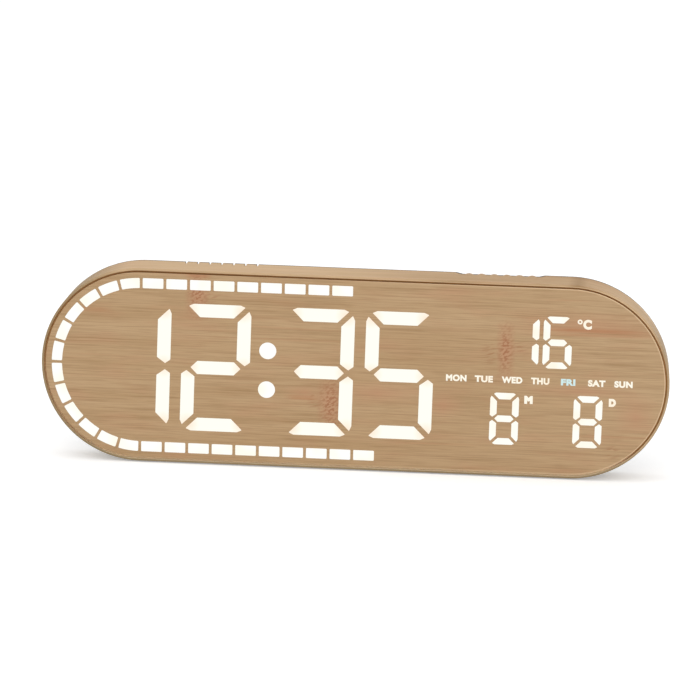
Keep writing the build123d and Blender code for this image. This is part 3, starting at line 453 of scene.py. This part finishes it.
def letterPiece(name, words, x, z, height, width, bolder):
    # a word in the plain built-in typeface, thickened, sized and laid on the film
    curve = bpy.data.curves.new(name, "FONT")
    curve.body = words
    curve.extrude = lettering["depth"]
    curve.bevel_depth = bolder
    curve.bevel_resolution = lettering["bevelSteps"]
    curve.space_character = lettering["spacing"]
    textObject = bpy.data.objects.new(name, curve)
    bpy.context.scene.collection.objects.link(textObject)
    shaped = textObject.evaluated_get(bpy.context.evaluated_depsgraph_get())
    mesh = bpy.data.meshes.new_from_object(shaped)
    bpy.data.objects.remove(textObject)
    mesh.name = name
    low = Vector([min(v.co[i] for v in mesh.vertices) for i in range(3)])
    high = Vector([max(v.co[i] for v in mesh.vertices) for i in range(3)])
    size = high - low
    thick = lettering["thick"] * mm
    mesh.transform(Matrix.Translation(-(low + high) / 2))
    mesh.transform(Matrix.Diagonal((width * mm / size.x, height * mm / size.y, thick / size.z, 1)))
    mesh.transform(Matrix.Rotation(radians(90), 4, "X"))
    mesh.transform(Matrix.Translation((faceMiddle.x + x * mm, faceLow.y - thick / 2, faceMiddle.z + z * mm)))
    return bpy.data.objects.new(name, mesh)


for word, x, width in zip(lettering["week"], lettering["weekPlaces"], lettering["weekWidths"]):
    colours = lettering["todayColour"] if word == lettering["today"] else lit["words"]
    dayLit = litMaterial("opal print, " + word.lower(), colours)
    sizes = (x, lettering["weekZ"], lettering["weekHeight"], width, lettering["bolder"])
    onFace(letterPiece("weekday_" + word.lower(), word, *sizes), dayLit)
wordLit = litMaterial("opal print, captions", lit["words"])
for name, word, *sizes in lettering["captions"]:
    onFace(letterPiece(name, word, *sizes), wordLit)

degreeRing = {"place": (135.3, 37.6), "radius": 1.5, "hole": 0.65, "segments": 32}     # millimetres
ringMesh = bmesh.new()
bmesh.ops.create_circle(ringMesh, segments=degreeRing["segments"], radius=degreeRing["radius"] * mm)
grown = bmesh.ops.extrude_edge_only(ringMesh, edges=ringMesh.edges[:])["geom"]
inner = [v for v in grown if isinstance(v, bmesh.types.BMVert)]
share = degreeRing["hole"] / degreeRing["radius"]
bmesh.ops.scale(ringMesh, vec=(share, share, 1), verts=inner)
raised = bmesh.ops.extrude_face_region(ringMesh, geom=ringMesh.faces[:])["geom"]
raised = [v for v in raised if isinstance(v, bmesh.types.BMVert)]
bmesh.ops.translate(ringMesh, vec=(0, 0, lettering["thick"] * mm), verts=raised)
bmesh.ops.rotate(ringMesh, matrix=Matrix.Rotation(radians(90), 3, "X"), verts=ringMesh.verts)
ringX, ringZ = degreeRing["place"]
ringPlace = (faceMiddle.x + ringX * mm, faceLow.y, faceMiddle.z + ringZ * mm)
bmesh.ops.translate(ringMesh, vec=ringPlace, verts=ringMesh.verts)
bmesh.ops.recalc_face_normals(ringMesh, faces=ringMesh.faces)
degreeData = bpy.data.meshes.new("degree_ring")
ringMesh.to_mesh(degreeData)
ringMesh.free()
onFace(bpy.data.objects.new("degree_ring", degreeData), wordLit)

print("stage: mouldings and metal")
# Each finish is a colour, a second colour, roughness, metallic, IOR, pattern and relief in millimetres, and
# its nodes. The real grains are finer than most of these patterns, drawn as coarse as they need to show.
finishes = {
    # matt and dark, broken up by fine pits
    "moulded ABS, fine spark texture": (
        "#473E34", "#51473C", 0.6, 0.0, 1.54, 0.7, 0.03,
        ["rear_cover", "foot_left", "foot_right", "battery_cap"]),
    # satin tan like the film, without its grain
    "moulded ABS, button caps": (
        "#B89A78", "#AC8E6C", 0.55, 0.0, 1.54, 0.9, 0.01, [f"button_cap_{i}" for i in range(1, 7)]),
    # a brown edge behind the film, a little glossy
    "brown tinted acrylic sheet": ("#A06C3A", "#8E5E32", 0.3, 0.0, 1.49, 6.0, 0.0, ["front_plate"]),
    # milky and even
    "opal diffuser sheet": ("#E9E7E0", "#DEDCD4", 0.5, 0.0, 1.58, 2.0, 0.0, ["diffuser_sheet"]),
    # plain warm white, nearly matt
    "moulded white ABS": ("#E4E2DA", "#D9D6CC", 0.5, 0.0, 1.54, 1.5, 0.01, ["light_mask"]),
    # deep green and glossy, with the weave faintly under it
    "glass-fibre board, green solder mask": (
        "#1E5A3A", "#1A4E33", 0.35, 0.0, 1.55, 1.2, 0.01, ["led_board", "button_board"]),
    # yellowish and glossy, like a drop of syrup
    "clear LED resin": ("#E8E2C4", "#D9CF9F", 0.25, 0.0, 1.52, 0.8, 0.0, ["ring_leds", "display_leds"]),
    # cool bright metal, dulled a little by its plating
    "zinc-plated steel": ("#B9BABD", "#A3A4A8", 0.35, 1.0, 1.5, 1.2, 0.01, ["board_screws", "case_screws"]),
    # bright metal with sharp reflections
    "ground steel pin": ("#C6C6C8", "#B2B2B5", 0.22, 1.0, 1.5, 0.6, 0.0, ["hinge_pins"]),
    # warm bright metal with faint press marks
    "nickel-plated steel": ("#CFCDC6", "#BDBAB1", 0.28, 1.0, 1.5, 3.0, 0.01, ["coin_cell", "usb_socket"]),
    # smooth grey metal with soft reflections
    "drawn metal can": ("#C4C5C8", "#B0B1B5", 0.3, 1.0, 1.5, 1.0, 0.0, ["clock_crystal"]),
    # brownish gold spring metal
    "phosphor bronze": ("#C9A163", "#B98F54", 0.3, 1.0, 1.5, 1.0, 0.0, ["battery_contacts"]),
    # flat black with a fine grain
    "moulded epoxy": ("#17181A", "#202124", 0.5, 0.0, 1.55, 0.6, 0.01, ["controller_chip"]),
    # black and a little waxy
    "moulded black nylon": (
        "#1B1B1C", "#242426", 0.5, 0.0, 1.53, 0.8, 0.01,
        ["sounder", "button_switches"] + [f"switch_plunger_{i}" for i in range(1, 7)]),
    # a glossy black drop
    "dipped epoxy bead": ("#20201E", "#2A2926", 0.3, 0.0, 1.55, 0.5, 0.0, ["temperature_sensor"]),
    # creamy and a little waxy
    "moulded white nylon": ("#E6E2D3", "#DCD7C6", 0.45, 0.0, 1.53, 0.8, 0.0, ["board_connector"]),
    # soft grey with a slight sheen
    "grey PVC ribbon": ("#8E9093", "#7F8184", 0.45, 0.0, 1.54, 1.0, 0.02, ["ribbon_cable"]),
    # dead black that takes up the light
    "matt black rubber": ("#1D1D1C", "#262624", 0.8, 0.0, 1.52, 0.5, 0.05, ["rubber_pads"]),
}
surface = {                    # what all of these share
    "toneRange": (0.35, 0.65),     # noise values of the first and the second colour
    "detail": 3.0,
    "bump": 0.4,
    "smoothBump": 0.05,        # where there is no relief
    "leastRelief": 0.01,       # millimetres
    "plasticGloss": 0.2,
    "metalGloss": 0.5,
}


def surfaceMaterial(name, colour, second, roughness, metallic, ior, pattern, relief):
    material = startMaterial(name)
    place = addNode(material, "TexCoord", take="Object")
    noise = addNode(material, "TexNoise", {
        "Vector": place, "Scale": 1 / (pattern * mm), "Detail": surface["detail"],
    })
    start, full = surface["toneRange"]
    tone = addNode(material, "MapRange", {"Value": noise, "From Min": start, "From Max": full})
    bump = addNode(material, "Bump", {
        "Height": noise, "Strength": surface["bump"] if relief else surface["smoothBump"],
        "Distance": max(relief, surface["leastRelief"]) * mm,
    })
    shader = addNode(material, "BsdfPrincipled", {
        "Base Color": layOver(material, fromHex(colour), fromHex(second), 1.0, tone),
        "Roughness": roughness, "Metallic": metallic, "IOR": ior, "Normal": bump,
        "Specular IOR Level": surface["metalGloss"] if metallic else surface["plasticGloss"],
    })
    addNode(material, "OutputMaterial", {"Surface": shader})
    return material


for name, (*look, members) in finishes.items():
    dress(members, surfaceMaterial(name, *look))

print("stage: floor and light")
studio = {
    "white": "#FFFFFF",
    "floorSize": 12.0,
    "floorColour": "#F2F2F2",  # matt white paper: plain, with only the clock's soft shadow on it
    "floorLift": 0.3,          # glow that only the camera and reflections see, so the floor looks white
    "world": 0.7,              # light from all round; the camera and reflections see it as white
    "topPower": 16.5,
    "topPlace": (-0.3, -0.4, 2.2),
    "topSize": 2.4,
    "frontPower": 15.5,
    "frontPlace": (0.2, -2.6, 1.3),
    "frontSize": 1.8,
}


def seenBy(owner, *rays):
    # 1 for the rays that show the background, and 0 for those that light the clock
    seen = 0.0
    for name in rays:
        ray = addNode(owner, "LightPath", take=f"Is {name} Ray")
        seen = addNode(owner, "Math", {0: ray, 1: seen}, operation="MAXIMUM")
    return seen


floorMesh = bmesh.new()
bmesh.ops.create_grid(floorMesh, x_segments=1, y_segments=1, size=studio["floorSize"] / 2)
floorData = bpy.data.meshes.new("floor")
floorMesh.to_mesh(floorData)
floorMesh.free()
floorObject = bpy.data.objects.new("floor", floorData)
bpy.context.scene.collection.objects.link(floorObject)
floorMaterial = startMaterial("studio floor")
diffuse = addNode(floorMaterial, "BsdfDiffuse", {"Color": fromHex(studio["floorColour"])})
seen = seenBy(floorMaterial, "Camera", "Glossy")
strength = addNode(floorMaterial, "Math", {0: seen, 1: studio["floorLift"]}, operation="MULTIPLY")
lift = addNode(floorMaterial, "Emission", {"Color": fromHex(studio["white"]), "Strength": strength})
both = addNode(floorMaterial, "AddShader", {0: diffuse, 1: lift})
addNode(floorMaterial, "OutputMaterial", {"Surface": both})
floorData.materials.append(floorMaterial)

world = bpy.data.worlds.new("studio")
bpy.context.scene.world = world
world.use_nodes = True
world.node_tree.nodes.clear()
seen = seenBy(world, "Camera", "Glossy", "Transmission")
strength = addNode(world, "MapRange", {"Value": seen, "To Min": studio["world"]})
background = addNode(world, "Background", {"Color": fromHex(studio["white"]), "Strength": strength})
addNode(world, "OutputWorld", {"Surface": background})


def areaLamp(name, power, place, size):
    lamp = bpy.data.lights.new(name, "AREA")
    lamp.energy = power
    lamp.size = size
    lampObject = bpy.data.objects.new(name, lamp)
    towards = (faceMiddle - Vector(place)).to_track_quat("-Z", "Y")
    lampObject.matrix_world = Matrix.Translation(place) @ towards.to_matrix().to_4x4()
    bpy.context.scene.collection.objects.link(lampObject)


areaLamp("top lamp", studio["topPower"], studio["topPlace"], studio["topSize"])
areaLamp("front lamp", studio["frontPower"], studio["frontPlace"], studio["frontSize"])
